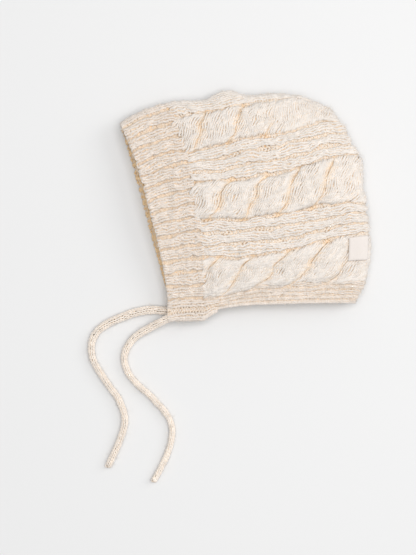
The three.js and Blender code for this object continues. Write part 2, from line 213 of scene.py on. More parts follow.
# wale, course and lift of the yarn of each row, and a tone for each stitch
def loopRows(centres, widths, knit, rows, samples):
    t = -math.pi + 2 * math.pi * np.arange(samples) / samples
    rowCount, stitchCount = len(rows), len(centres)
    shape = (rowCount, stitchCount, 1)
    full = (rowCount, stitchCount, samples)
    uneven = lambda word: chance.normal(0, stitch["spread"][word] * stitch["unevenness"], shape)
    shiftWale = uneven("wale") * widths[None, :, None]
    shiftCourse = uneven("course")
    bulge = stitch["bulge"] * (1 + uneven("bulge"))
    pitch = rows[1] - rows[0]
    high = stitch["loopHeight"] * pitch * (1 + uneven("height"))
    deep = stitch["loopDepth"] * (1 + uneven("depth"))
    turned = t / (2 * math.pi) + bulge * np.sin(2 * t)
    wale = centres[None, :, None] + shiftWale + widths[None, :, None] * turned
    course = np.asarray(rows)[:, None, None] + shiftCourse + high * np.cos(t)
    side = np.where(knit, 1.0, -1.0)[None, :, None]
    lift = -deep * np.cos(2 * t) * side
    thin = 1 - stitch["purlThin"] * (side < 0) * (0.5 - 0.5 * np.cos(t * 2))
    join = lift[:, :, 0].copy()
    lift[:, 1:, 0] = (join[:, 1:] + join[:, :-1]) / 2
    tone = chance.normal(0, 1, shape)
    wale, course, lift, tone, thin = (np.ascontiguousarray(np.broadcast_to(a, full)).reshape(rowCount, -1)
                                      for a in (wale, course, lift, tone, thin))
    endWale = centres[-1] + widths[-1] / 2
    wale = np.concatenate([wale, np.full((rowCount, 1), endWale)], 1)
    course = np.concatenate([course, course[:, :1]], 1)
    course[:, -1] = np.asarray(rows) - stitch["loopHeight"] * pitch
    lift = np.concatenate([lift, join[:, -1:]], 1)
    tone = np.concatenate([tone, tone[:, -1:]], 1)
    thin = np.concatenate([thin, thin[:, -1:]], 1)
    return wale, course, lift, tone, thin


def wales(kinds, start, widthOf):  # centres and widths of a run of wales, with k and p as their kinds
    widths = np.array([widthOf[k] for k in kinds])
    edges = start + np.concatenate([[0], np.cumsum(widths)])
    return (edges[1:] + edges[:-1]) / 2, widths, np.array([k == "k" for k in kinds])


def lumpy(points):  # hand-spun yarn, here thicker and there thinner
    thick = 1 + stitch["lumpiness"] * lumps(points[:, 0] + points[:, 2] * 0.7, points[:, 1], 4.0, 23)
    return np.clip(thick, *stitch["thickness"])


class Yarn:  # gathers the lines of yarn of one piece
    def __init__(self):
        self.points, self.edges, self.normals = [], [], []
        self.tones, self.deeps, self.thick = [], [], []
        self.lengths, self.courses = [], []
        self.count = 0

    def rowsBetween(self, low, high):  # the rows whose middle lies between two courses
        chosen = Yarn()
        for i, points in enumerate(self.points):
            length = self.lengths[i]
            count = len(points) // length
            middleOf = self.courses[i].reshape(count, length).mean(1)
            keep = np.repeat((middleOf >= low) & (middleOf < high), length)
            if keep.any():
                chosen.add(points[keep], self.tones[i][keep], self.deeps[i][keep], length,
                           self.normals[i][keep], self.thick[i][keep], self.courses[i][keep])
        return chosen

    def takeIn(self, other):
        for points, tone, deep, length, normals, thick in zip(other.points, other.tones, other.deeps,
                                                              other.lengths, other.normals, other.thick):
            self.add(points, tone, deep, length, normals, thick)

    def add(self, points, tone, deep, rowLength, normals, thick=None, courses=None):
        total = len(points)
        index = np.arange(total).reshape(-1, rowLength) + self.count
        self.edges.append(np.stack([index[:, :-1].ravel(), index[:, 1:].ravel()], 1))
        thick = lumpy(points) if thick is None else thick
        self.points.append(points)
        self.tones.append(tone)
        self.deeps.append(deep)
        self.thick.append(thick)
        self.normals.append(normals)
        self.lengths.append(rowLength)
        self.courses.append(np.zeros(total) if courses is None else courses)
        self.count += total


def wavy(wale, course, last):  # hand knitting is never quite even: rows and columns wander a little
    x, y = wale * fabric["stitchWide"], course * fabric["stitchHigh"]
    inside = smooth(0.5, 4.0, wale) * smooth(last - 0.5, last - 4.0, wale)
    aside, up = (sum(share * lumps(x, y, size, seed) for share, size, seed in waves[way])
                 for way in ("wale", "course"))
    reach = stitch["wander"] * inside
    return wale + reach * aside, course + reach * up


def bodyPlace(wale, course, lift, relief, side):
    wale, course = wavy(wale, course, fabric["bodyWales"])
    share = waleShare(np.clip(wale, 0, fabric["bodyWales"] + 0.3), depthOf(course))
    return placed(course, share, lift, relief, side)


def bandPlace(wale, course, lift, relief, side):
    inside = smooth(0.0, 2.0, course) * smooth(fabric["bandCourses"], 12.0, course)
    wander, bend = wavy(wale, course, fabric["bandWales"])
    share = np.clip(wander / fabric["bandWales"], 0, 1)
    return placed(course + (bend - course) * inside, share, lift, relief, side)


softness = [  # bumps of the whole fabric, in mm
    {"size": 34.0, "height": 0.5, "seed": 11},
    {"size": 12.0, "height": 0.3, "seed": 5},
    {"size": 5.0, "height": 0.2, "seed": 6},
]
fullness = [  # places where the fabric puffs out: the crown fold and the corner at the back
    {"course": 31.5, "courseReach": 3.4, "share": 0.0, "shareReach": 0.03, "puff": 2.4},
    {"course": 64.0, "courseReach": 5.0, "share": 0.30, "shareReach": 0.09, "puff": 2.2},
]


def placed(course, share, lift, relief, side):
    base = middle(np.clip(course, -1, fabric["courses"] - 0.02), share, side)
    soft = sum(bumps["height"] * lumps(base[:, 0], base[:, 1], bumps["size"], bumps["seed"])
               for bumps in softness)
    if side < 0:   # the far layer is pressed flat where it rests
        flatness = 1 - smooth(fabric["wall"] / 2 + 1.0, fabric["foldHeight"], base[:, 2])
        valley = fabric["pressedValley"] * flatness * (relief < -0.2)
        relief = relief * (1 - flatness) - valley - fabric["pressedSink"]
        soft = soft * (1 - flatness)
    offset = lift + relief + soft
    for spot in fullness:
        aside = ((course - spot["course"]) / spot["courseReach"]) ** 2
        away = aside + ((share - spot["share"]) / spot["shareReach"]) ** 2
        offset = offset + spot["puff"] * np.exp(-away)
    return surface(course, share, side, offset)


panels = [  # runs of knit and purl wales, with the width of each kind
    {"start": 0.0, "kinds": "kkkkp", "widths": {"k": 1.05, "p": 0.80}, "ridge": 0.5, "valley": -1.0},
    {"start": 14.0, "kinds": "pkkpkkpkkp", "widths": {"k": 1.10, "p": 0.85}, "ridge": 0.5, "valley": -1.2},
    {"start": 33.0, "kinds": "pkkpkkpkkp", "widths": {"k": 1.10, "p": 0.85}, "ridge": 0.5, "valley": -1.2},
    {"start": 52.0, "kinds": "kpkpkpkpk", "widths": {"k": 1.08, "p": 0.65}, "ridge": 0.3, "valley": -0.6},
]
band = {
    "kinds": "pkkp" * 16,
    "widths": {"k": 1.55, "p": 0.45},
    "ridge": 0.75,
    "valley": -1.45,
    "firstRow": 1.12,
    "lastRow": 14.35,
    "rows": 17,
}
for panel in panels:
    panel["centres"], panel["sizes"], panel["knit"] = wales(panel["kinds"], panel["start"], panel["widths"])


def bandRelief(wale):  # round ridges with sharp, narrow valleys
    fromValley = np.abs(((wale + 2) % 4) - 2) / 2
    return band["valley"] + (band["ridge"] - band["valley"]) * smooth(0.02, 0.50, fromValley)


def panelRelief(panel, wale):
    purls = panel["centres"][~panel["knit"]]
    distance = np.min(np.abs(wale[:, None] - purls[None, :]), axis=1)
    return panel["valley"] + (panel["ridge"] - panel["valley"]) * smooth(0.22, 0.92, distance)


def bandYarn(yarn, side):
    centres, widths, knit = wales(band["kinds"], 0.0, band["widths"])
    rows = np.linspace(band["firstRow"], band["lastRow"], band["rows"])
    stitches = loopRows(centres, widths, knit, rows, stitch["samples"][side])
    rowLength = stitches[0].shape[1]
    wale, course, lift, tone, thin = (a.ravel() for a in stitches)
    relief = bandRelief(wale)
    points, square = bandPlace(wale, course, lift, relief, side)
    # painted shade: yarn that lies low and in the rib valleys reads deeper in colour
    deep = lift + 0.55 * relief
    # painted shade on the far face edge, where the near layer shades its inside
    if side < 0:
        deep = deep - stitch["farShade"] * smooth(8.0, 1.5, course) * smooth(4.0, 9.0, wale)
    yarn.add(points, tone, deep, rowLength, square, thin * lumpy(points))


cableLook = {
    "firstCrevice": -0.5,   # where the middle of a crevice lies, in pitches from the middle of a strand
    "rise": 3.3,
    "sink": 1.0,          # how deep a strand dives under its neighbour, as a share of the rise
    "diveReach": 0.34,    # how far across the strand that is felt
    "notch": 0.8,         # in mm, a sharp line along each crevice
    "shade": 1.0,         # painted shade: how much deeper the crevices read in colour
    "holeSize": 1.1,      # in stitches, of the pucker at each end of a crevice
    "holeDepth": 0.9,
    # painted shade in each pucker, as a depth of colour
    "holeShade": 0.8,
    "lineWidth": 0.06,    # of that line, its painted shade and the round ends, as shares of the strand
    "shadeWidth": 0.13,
    "roundEnd": 0.16,
    "strandWales": 8,
    "strandRows": 11,
}


# the cables rise as they leave the face band and flatten out towards the back seam
def cableFade(cable, course):
    start = fabric["bandCourses"]
    flat = 1 - 0.85 * smooth(*cable["flat"], depthOf(course))
    return flat * (0.35 + 0.65 * smooth(start, start + 3, course))


def creviceOffset(cable, up):  # in courses, with up from 0 at the cable's lower edge to 1 at its upper one
    return cable["lean"] * (up - 0.5 + 0.07 * np.sin(2 * math.pi * up))


# height of one strand: across from its left crevice (0) to its right one (1), up along it
def strandHeight(across, up):
    climb = smooth(0.05, 0.95, up)
    left = 1 - cableLook["sink"] * (1 - climb) * np.exp(-((across / cableLook["diveReach"]) ** 2))
    right = 1 - cableLook["sink"] * climb * np.exp(-(((1 - across) / cableLook["diveReach"]) ** 2))
    ends = np.sqrt(np.clip(np.minimum(up, 1 - up) / cableLook["roundEnd"], 0.02, 1))
    width = cableLook["lineWidth"]
    line = np.exp(-((across / width) ** 2)) + np.exp(-(((1 - across) / width) ** 2))
    return cableLook["rise"] * left * right * ends - cableLook["notch"] * line * ends


def creviceShade(across, up):  # painted shade mask: 1 along the crevices, strongest where a strand dives
    climb = smooth(0.05, 0.95, up)
    width = cableLook["shadeWidth"]
    left = (0.45 + 0.55 * (1 - climb)) * np.exp(-((across / width) ** 2))
    right = (0.45 + 0.55 * climb) * np.exp(-(((1 - across) / width) ** 2))
    return np.clip(left + right, 0, 1)


def strandPlace(cable, course, up):  # counts strands along the cable, with crevices at whole numbers
    return (course - creviceOffset(cable, up) - cable["first"]) / cable["pitch"] - cableLook["firstCrevice"]


def diveHoles(wale, course):  # small puckers at both ends of each crevice
    total = np.zeros(len(wale))
    size = cableLook["holeSize"]
    for cable in cables:
        shown = (1 - smooth(*cable["flat"], depthOf(course))) * smooth(15.0, 17.0, course)
        for up, edge in ((1.0, cable["fromWale"] - 0.3), (0.0, cable["toWale"] + 0.3)):
            place = strandPlace(cable, course, up)
            aside = (place - np.round(place)) * cable["pitch"] / size
            total += shown * np.exp(-(aside ** 2) - ((wale - edge) / (0.75 * size)) ** 2)
    return np.minimum(total, 1)


def cableRelief(cable, wale, course):
    up = (cable["toWale"] - wale) / (cable["toWale"] - cable["fromWale"])
    place = strandPlace(cable, course, up)
    return strandHeight(place - np.floor(place), up) * cableFade(cable, course)


# each strand climbs from one edge of the cable to the other and dives under the next
def cableYarn(yarn, cable, side, rows, samples):
    count, lines = cableLook["strandWales"], cableLook["strandRows"]
    first = int(math.floor((rows[0] - cable["first"] - cable["lean"]) / cable["pitch"]))
    last = int(math.ceil((rows[-1] - cable["first"] + cable["lean"]) / cable["pitch"]))
    width = 1.0 / count
    centres = (np.arange(count) + 0.5) * width
    for k in range(first, last + 1):
        across, row, lift, tone, thin = loopRows(centres, np.full(count, width), np.full(count, True),
                                                 np.arange(lines) + 0.5, samples)
        up = np.clip(row / lines, 0.0, 1.0)
        start = cable["first"] + (k + cableLook["firstCrevice"]) * cable["pitch"]
        course = start + np.clip(across, 0.02, 0.98) * cable["pitch"] + creviceOffset(cable, up)
        wale = cable["toWale"] - up * (cable["toWale"] - cable["fromWale"])
        inside = (course > rows[0] - 0.6) & (course < rows[-1] + 0.6)
        height = strandHeight(np.clip(across, 0, 1), up)
        for line in np.flatnonzero(inside.any(1)):
            chosen = np.flatnonzero(inside[line])
            long = chosen[-1] + 1 - chosen[0]
            if long < 4:   # a stub at the edge of the crown
                continue
            cut = (line, slice(chosen[0], chosen[-1] + 1))
            fade = cableFade(cable, course[cut])
            points, square = bodyPlace(wale[cut], course[cut], lift[cut], height[cut] * fade, side)
            # painted shade: the yarn reads deeper in colour along the crevices
            deep = lift[cut] - cableLook["shade"] * creviceShade(across[cut], up[cut]) * fade
            yarn.add(points, tone[cut], deep, long, square, 0.9 * lumpy(points),
                     np.full(long, course[line].mean()))


def panelYarn(yarn, panel, side, rows, samples):
    stitches = loopRows(panel["centres"], panel["sizes"], panel["knit"], rows, samples)
    rowLength = stitches[0].shape[1]
    wale, course, lift, tone, thin = (a.ravel() for a in stitches)
    holes = diveHoles(wale, course)
    relief = panelRelief(panel, wale)
    points, square = bodyPlace(wale, course, lift, relief - cableLook["holeDepth"] * holes, side)
    # painted shade: yarn that lies low, in the purl valleys and in the puckers reads deeper in colour
    deep = lift + 0.3 * relief - cableLook["holeShade"] * holes
    yarn.add(points, tone, deep, rowLength, square, thin * lumpy(points), course)


def bodyRelief(wale, course):
    relief = np.full(len(wale), -0.6)
    for panel in panels:
        inside = (wale >= panel["start"]) & (wale <= panel["start"] + panel["sizes"].sum())
        relief[inside] = panelRelief(panel, wale[inside])
    for cable in cables:
        inside = (wale > cable["fromWale"]) & (wale < cable["toWale"])
        relief[inside] = cableRelief(cable, wale[inside], course[inside])
    return relief - cableLook["holeDepth"] * diveHoles(wale, course)


def bodyYarn(yarn, side):
    rows = np.linspace(*stitch["bodyRows"][side])
    for panel in panels[:3]:
        panelYarn(yarn, panel, side, rows, stitch["samples"][side])
    for cable in cables:
        cableYarn(yarn, cable, side, rows, stitch["samples"][side])


def neckYarn(yarn, side):
    panelYarn(yarn, panels[3], side, np.linspace(*stitch["bodyRows"][side]), stitch["samples"][side])


# ties, knitted in the round, from where each is sewn on to its free end
nearTieRoute = [
    (-29.9, -81.4, 12.0), (-40.0, -81.7, 11.4), (-50.8, -82.5, 10.3), (-58.8, -85.8, 8.7),
    (-67.8, -90.6, 6.2), (-77.0, -96.0, 4.2), (-83.7, -103.0, 3.1), (-86.9, -111.6, 2.9),
    (-85.5, -120.2, 2.9), (-80.8, -128.2, 2.9), (-65.7, -142.6, 2.9), (-54.1, -157.0, 2.9),
    (-52.2, -168.0, 2.9), (-57.2, -185.8, 2.9), (-66.7, -203.4, 2.9),
]
farTieRoute = [
    (-37.8, -79.1, 3.1), (-46.4, -79.0, 3.1), (-56.0, -78.5, 3.1), (-68.0, -77.9, 3.1),
    (-79.6, -79.9, 3.1), (-90.4, -83.9, 3.1), (-99.7, -88.2, 3.1), (-106.2, -93.2, 3.1),
    (-110.1, -100.1, 3.1), (-110.8, -108.0, 3.1), (-108.6, -115.9, 3.1), (-99.7, -130.3, 3.1),
    (-90.6, -143.6, 3.1), (-86.5, -157.7, 3.1), (-90.1, -172.1, 3.1), (-99.4, -193.0, 3.1),
]
tieLook = {
    "nearSize": 5.4,
    "farSize": 5.8,
    "plump": 0.55,        # in mm, how much thicker the first part is
    "wales": 5,
    "course": 2.05,
    "loopHeight": 0.62,   # as a share of a course
    "loopDepth": 0.42,
    "bulge": 0.16,        # in wales
    "roundEnd": 2.6,      # in mm, how long the rounded ends are
    "coreShade": -0.9,    # painted shade: how deep the colour of the filling yarn reads
    "yarnRadius": 0.72,
    "samples": 7,
    "sides": 4,
}


def alongRoute(route, step):  # a centripetal curve through the route, in even steps
    p = np.array(route)
    p = np.vstack([2 * p[0] - p[1], p, 2 * p[-1] - p[-2]])
    dense = []
    for i in range(1, len(p) - 2):
        a, b, c, d = p[i - 1], p[i], p[i + 1], p[i + 2]
        t0 = 0.0
        t1 = t0 + np.linalg.norm(b - a) ** 0.5
        t2 = t1 + np.linalg.norm(c - b) ** 0.5
        t3 = t2 + np.linalg.norm(d - c) ** 0.5
        t = np.linspace(t1, t2, 20, endpoint=False)[:, None]
        ab = a * (t1 - t) / (t1 - t0) + b * (t - t0) / (t1 - t0)
        bc = b * (t2 - t) / (t2 - t1) + c * (t - t1) / (t2 - t1)
        cd = c * (t3 - t) / (t3 - t2) + d * (t - t2) / (t3 - t2)
        abc = ab * (t2 - t) / (t2 - t0) + bc * (t - t0) / (t2 - t0)
        bcd = bc * (t3 - t) / (t3 - t1) + cd * (t - t1) / (t3 - t1)
        dense.append(abc * (t2 - t) / (t2 - t1) + bcd * (t - t1) / (t2 - t1))
    dense = np.vstack(dense + [p[-2][None, :]])
    run = np.concatenate([[0], np.cumsum(np.linalg.norm(np.diff(dense, axis=0), axis=1))])
    even = np.linspace(0, run[-1], max(2, int(round(run[-1] / step)) + 1))
    return np.stack([np.interp(even, run, dense[:, k]) for k in range(3)], 1), run[-1]


def tieYarn(yarn, route, size):
    path, length = alongRoute(route, 0.5)
    run = np.linspace(0, length, len(path))
    tangent = np.gradient(path, axis=0)
    tangent /= np.linalg.norm(tangent, axis=1)[:, None]
    up = np.array([0.0, 0.0, 1.0]) - tangent * tangent[:, 2:3]
    up /= np.linalg.norm(up, axis=1)[:, None]
    across = np.cross(tangent, up)
    radius = size / 2 - tieLook["yarnRadius"] - tieLook["loopDepth"]
    rounds = int((length - 3.0) / tieLook["course"])
    t = -math.pi + 2 * math.pi * np.arange(tieLook["samples"]) / tieLook["samples"]
    k = np.arange(rounds * tieLook["wales"])[:, None]
    wale = k + 0.5 + t / (2 * math.pi) + tieLook["bulge"] * np.sin(2 * t) + chance.normal(0, 0.05, k.shape)
    height = tieLook["loopHeight"] * tieLook["course"] * np.cos(t)
    alongTie = wale / tieLook["wales"] * tieLook["course"] + height + 1.6
    lift = -tieLook["loopDepth"] * (1 + chance.normal(0, 0.2, k.shape)) * np.cos(2 * t)
    tone = np.broadcast_to(chance.normal(0, 1, k.shape), wale.shape)
    angle = wale.ravel() * 2 * math.pi / tieLook["wales"]
    place, lift = alongTie.ravel(), lift.ravel()
    fromEnd = np.clip(np.minimum(place, length - place) / tieLook["roundEnd"], 0, 1)
    ends = np.sqrt(np.clip(1 - (1 - fromEnd) ** 2, 0.02, 1))
    reach = radius * ends + tieLook["plump"] * smooth(0.55 * length, 0.2 * length, place) + lift
    at = lambda a: np.stack([np.interp(place, run, a[:, i]) for i in range(3)], 1)
    outward = at(up) * np.sin(angle)[:, None] + at(across) * np.cos(angle)[:, None]
    # painted shade: the low parts of each loop read deeper in colour
    yarn.add(at(path) + outward * reach[:, None], tone.ravel(), lift * 1.2 + 0.25, len(place), outward)
    core = path[4:-4:5]   # a filling yarn along the middle closes the gaps between the stitches
    count = len(core)
    fill = radius + 0.3 + tieLook["plump"] * smooth(0.55, 0.2, np.linspace(0, 1, count))
    # painted shade: the filling yarn, seen between the stitches, reads deep in colour
    yarn.add(core, np.zeros(count), np.full(count, tieLook["coreShade"]), count,
             np.tile([0.0, 0.0, 1.0], (count, 1)), fill / tieLook["yarnRadius"])
    return length


tieJoin = {
    "kinds": "kpkkpk",
    "widths": {"k": 1.12, "p": 0.55},
    "ridge": 0.35,
    "valley": -0.5,
    "fromX": -55.0,
    "toX": -20.0,
    "rows": 17,
    "radius": (1.9, 3.0, 3.5, 3.2, 2.2),   # of the gather round the tie, from the face edge backwards
    "turn": (-20, 150),   # degrees round the tie, from its top outwards
    "leaveX": (-31.0, -21.0),   # where it leaves the tie and draws up to the neck edge
}


# the neck edge at the face corner is gathered over the start of the near tie
def joinYarn(yarn):
    centres, widths, knit = wales(tieJoin["kinds"], 0.0, tieJoin["widths"])
    stitches = loopRows(centres, widths, knit, np.arange(tieJoin["rows"]) + 0.5, stitch["samples"][1])
    rowLength = stitches[0].shape[1]
    wale, row, lift, tone, thin = (a.ravel() for a in stitches)
    s = np.clip(row / tieJoin["rows"], 0, 1)
    x = tieJoin["fromX"] + (tieJoin["toX"] - tieJoin["fromX"]) * s
    path = alongRoute(nearTieRoute[:5], 0.5)[0][::-1]   # the tie's start, in the order of rising x
    tieY, tieZ = (np.interp(x, path[:, 0], path[:, k]) for k in (1, 2))
    course = np.interp(x, *edgeCourses())
    top, square = surface(course, np.full(len(x), 0.955), 1, np.full(len(x), 1.1))
    edge = middle(course, np.full(len(x), 1.0), 1)
    leave = smooth(*tieJoin["leaveX"], x)
    tieY = tieY + (edge[:, 1] + 0.4 - tieY) * leave
    tieZ = tieZ + (edge[:, 2] - 1.2 - tieZ) * leave
    radius = np.interp(s, np.linspace(0, 1, 5), tieJoin["radius"])
    purls = centres[~knit]
    distance = np.min(np.abs(wale[:, None] - purls[None, :]), axis=1)
    relief = tieJoin["valley"] + (tieJoin["ridge"] - tieJoin["valley"]) * smooth(0.15, 0.7, distance)
    share = wale / (centres[-1] + widths[-1] / 2)
    turn = np.radians(np.interp(share, (0.28, 1.0), tieJoin["turn"]))
    outward = np.stack([np.zeros(len(x)), -np.sin(turn), np.cos(turn)], 1)
    aroundTie = np.stack([x, tieY, tieZ], 1) + outward * radius[:, None]
    down = smooth(0.0, 0.42, share)[:, None]
    points = top * (1 - down) + aroundTie * down
    normal = square * (1 - down) + outward * down
    normal /= np.linalg.norm(normal, axis=1)[:, None]
    points = points + normal * (lift * 0.9 + relief)[:, None]
    # painted shade: yarn that lies low and in the valleys reads deeper in colour
    yarn.add(points, tone, lift + 0.5 * relief, rowLength, normal, thin * lumpy(points))


def edgeCourses():  # where along x each course of the neck edge lies
    courses = np.linspace(0.0, 40.0, 81)
    return middle(courses, np.ones(81), 1)[:, 0], courses


# trees of nodes
def newTree(name, kind, inputs, outputs):
    tree = bpy.data.node_groups.new(name, kind)
    for way, sockets in (("INPUT", inputs), ("OUTPUT", outputs)):
        for word, socket in sockets.items():
            tree.interface.new_socket(word, in_out=way, socket_type="NodeSocket" + socket)
    return tree


def feed(tree, node, inputs):  # sets each named input, or links it where it is given a socket
    for name, value in inputs.items():
        if isinstance(value, bpy.types.NodeSocket):
            tree.links.new(value, node.inputs[name])
        else:
            node.inputs[name].default_value = value


def newNode(tree, kind, inputs=None, **settings):  # gives the outputs of the new node
    node = tree.nodes.new(kind)
    for name, value in settings.items():
        setattr(node, name, value)
    feed(tree, node, inputs or {})
    return node.outputs


def yarnTree():  # turns lines into tubes of yarn
    tree = newTree("yarnAlongLines", "GeometryNodeTree", {
        "Geometry": "Geometry", "Yarn Radius": "Float", "Sides": "Int", "Material": "Material",
    }, {"Geometry": "Geometry"})
    given = newNode(tree, "NodeGroupInput")
    lines = newNode(tree, "GeometryNodeMeshToCurve", {"Mesh": given["Geometry"]})["Curve"]
    thick = newNode(tree, "GeometryNodeInputNamedAttribute", {"Name": "thick"}, data_type="FLOAT")
    widened = newNode(tree, "GeometryNodeSetCurveRadius", {"Curve": lines, "Radius": thick["Attribute"]})
    ring = newNode(tree, "GeometryNodeCurvePrimitiveCircle",
                   {"Resolution": given["Sides"], "Radius": given["Yarn Radius"]})
    tubes = newNode(tree, "GeometryNodeCurveToMesh",
                    {"Curve": widened["Curve"], "Profile Curve": ring["Curve"], "Fill Caps": True})
    soft = newNode(tree, "GeometryNodeSetShadeSmooth", {"Geometry": tubes["Mesh"]})
    real = newNode(tree, "GeometryNodeRealizeInstances", {"Geometry": soft["Geometry"]})
    dressed = newNode(tree, "GeometryNodeSetMaterial",
                      {"Geometry": real["Geometry"], "Material": given["Material"]})
    newNode(tree, "NodeGroupOutput", {"Geometry": dressed["Geometry"]})
    return tree


def setValues(mesh, word, values):
    mesh.attributes.new(word, "FLOAT", "POINT").data.foreach_set("value", values.astype(np.float32))


def knitPiece(name, yarn, material, radius, sides):
    points = np.concatenate(yarn.points) / 1000
    edges = np.concatenate(yarn.edges)
    mesh = bpy.data.meshes.new(name + "Lines")
    mesh.vertices.add(len(points))
    mesh.vertices.foreach_set("co", points.astype(np.float32).ravel())
    mesh.edges.add(len(edges))
    mesh.edges.foreach_set("vertices", edges.astype(np.int32).ravel())
    for word, values in (("tone", yarn.tones), ("deep", yarn.deeps), ("thick", yarn.thick)):
        setValues(mesh, word, np.concatenate(values))
    lines = bpy.data.objects.new(name + "Lines", mesh)
    scene.collection.objects.link(lines)
    modifier = lines.modifiers.new("yarn", "NODES")
    modifier.node_group = treeOfYarn
    values = {"Yarn Radius": radius / 1000, "Sides": sides, "Material": material}
    for socket in treeOfYarn.interface.items_tree:
        if socket.name in values:
            modifier[socket.identifier] = values[socket.name]
    bpy.context.view_layer.update()
    ready = lines.evaluated_get(bpy.context.evaluated_depsgraph_get())
    made = bpy.data.meshes.new_from_object(ready)
    lines.modifiers.remove(modifier)
    bpy.data.objects.remove(lines)
    made.name = name
    piece = bpy.data.objects.new(name, made)
    scene.collection.objects.link(piece)
    made.calc_loop_triangles()
    print(name, len(made.loop_triangles), "triangles")
    return piece


# materials
wool = {
    "kinds": {
        "creamWool": {"light": (0.812, 0.757, 0.706), "mottling": 0.04},
        # painted shade: a darker, a little more golden copy of the cream wool, made for the dimmer face band
        # and used for the neck edge too
        "creamWoolShadedBand": {"light": (0.793, 0.717, 0.651), "mottling": 0.06},
        # painted light: a lighter copy of the cream wool for the ties, making up for the shade between their
        # strands
        "creamWoolLitTie": {"light": (0.92, 0.835, 0.752), "mottling": 0.07},
        "woolFibre": {"light": (0.90, 0.83, 0.75), "mottling": 0.0},
    },
    # painted shade: the warm golden colour the wool takes where it lies deep, in full below the first depth
    # and gone above the second
    "deep": (0.92, 0.66, 0.38),
    "fullShadeDepth": -1.7,     # in mm from the middle of the fabric
    "noShadeDepth": 0.2,
    # painted shade in the gaps between strands, found by ambient occlusion
    "gapReach": 0.0016,   # in metres, how far a gap between strands is felt
    "gapOpen": (0.2, 0.75),   # how open the surroundings of the darkest and of the lightest wool are
    "paintedGapShade": 0.42,
    "stitchTone": 0.03,
    "blotches": 260,      # to a metre
    "fibres": 1100,
    "fibreHeight": 0.0005,
    "roughness": 0.92,
    "sheen": 0.35,
    "gloss": 0.15,
}


def woolSurface():  # colour and fibre height of the wool, with painted shade where it lies deep, shared by all knitted pieces
    group = newTree("woolSurface", "ShaderNodeTree", {"Light": "Color", "Painted Shade": "Color", "Mottling": "Float"},
                    {"Colour": "Color", "Fibre Height": "Float"})
    given = newNode(group, "NodeGroupInput")
    place = newNode(group, "ShaderNodeTexCoord")["Object"]
    # painted shade: yarn and ground that lie deep take the deep golden colour
    depth = newNode(group, "ShaderNodeAttribute", attribute_name="deep")["Fac"]
    fade = newNode(group, "ShaderNodeMapRange",
                   {"Value": depth, "From Min": wool["fullShadeDepth"], "From Max": wool["noShadeDepth"]})
    # painted shade: where ambient occlusion finds gaps between strands the colour turns warmer and darker,
    # for light passed on through the fibres
    gaps = newNode(group, "ShaderNodeAmbientOcclusion", {"Distance": wool["gapReach"]}, samples=8)
    closed, wide = wool["gapOpen"]
    gapShadeLevel = newNode(group, "ShaderNodeMapRange", {"Value": gaps["AO"], "From Min": closed, "From Max": wide,
                                                 "To Min": 1.0 - wool["paintedGapShade"]})
    share = newNode(group, "ShaderNodeMath", {0: fade["Result"], 1: gapShadeLevel["Result"]}, operation="MULTIPLY")
    mix = newNode(group, "ShaderNodeMix", {"Factor": share["Value"], "A": given["Painted Shade"], "B": given["Light"]},
                  data_type="RGBA")
    # mottling of the wool plus the tone of each stitch, about 1
    blotch = newNode(group, "ShaderNodeTexNoise", {"Vector": place, "Scale": wool["blotches"], "Detail": 2})
    low = newNode(group, "ShaderNodeMath", {0: 1.0, 1: given["Mottling"]}, operation="SUBTRACT")
    high = newNode(group, "ShaderNodeMath", {0: 1.0, 1: given["Mottling"]}, operation="ADD")
    spread = newNode(group, "ShaderNodeMapRange", {"Value": blotch["Fac"], "From Min": 0.3, "From Max": 0.7,
                                                   "To Min": low["Value"], "To Max": high["Value"]})
    tone = newNode(group, "ShaderNodeAttribute", attribute_name="tone")["Fac"]
    level = newNode(group, "ShaderNodeMath", {0: tone, 1: wool["stitchTone"], 2: spread["Result"]},
                    operation="MULTIPLY_ADD")
    colour = newNode(group, "ShaderNodeVectorMath", {0: mix["Result"], "Scale": level["Value"]},
                     operation="SCALE")
    fibre = newNode(group, "ShaderNodeTexNoise",
                    {"Vector": place, "Scale": wool["fibres"], "Detail": 5, "Roughness": 0.65})
    newNode(group, "NodeGroupOutput", {"Colour": colour["Vector"], "Fibre Height": fibre["Fac"]})
    return group


def newMaterial(name, inputs):  # gives the material, its tree and its shader
    material = bpy.data.materials.new(name)
    material.use_nodes = True
    tree = material.node_tree
    shader = tree.nodes["Principled BSDF"]
    feed(tree, shader, inputs)
    return material, tree, shader


def dress(tree, shader, colour, height, distance):
    bump = newNode(tree, "ShaderNodeBump", {"Strength": 0.6, "Distance": distance, "Height": height})
    feed(tree, shader, {"Normal": bump["Normal"], "Base Color": colour})


def woolMaterial(name):
    kind = wool["kinds"][name]
    material, tree, shader = newMaterial(name, {
        "Roughness": wool["roughness"], "Sheen Weight": wool["sheen"], "Sheen Roughness": 0.5,
        "Specular IOR Level": wool["gloss"],
    })
    skin = newNode(tree, "ShaderNodeGroup", {"Light": (*kind["light"], 1), "Painted Shade": (*wool["deep"], 1),
                                             "Mottling": kind["mottling"]}, node_tree=woolGroup)
    dress(tree, shader, skin["Colour"], skin["Fibre Height"], wool["fibreHeight"])
    return material


def grid(top, bottom, rows, left, right, columns):
    r, k = np.meshgrid(np.linspace(top, bottom, rows), np.linspace(left, right, columns), indexing="ij")
    return r.ravel(), k.ravel()


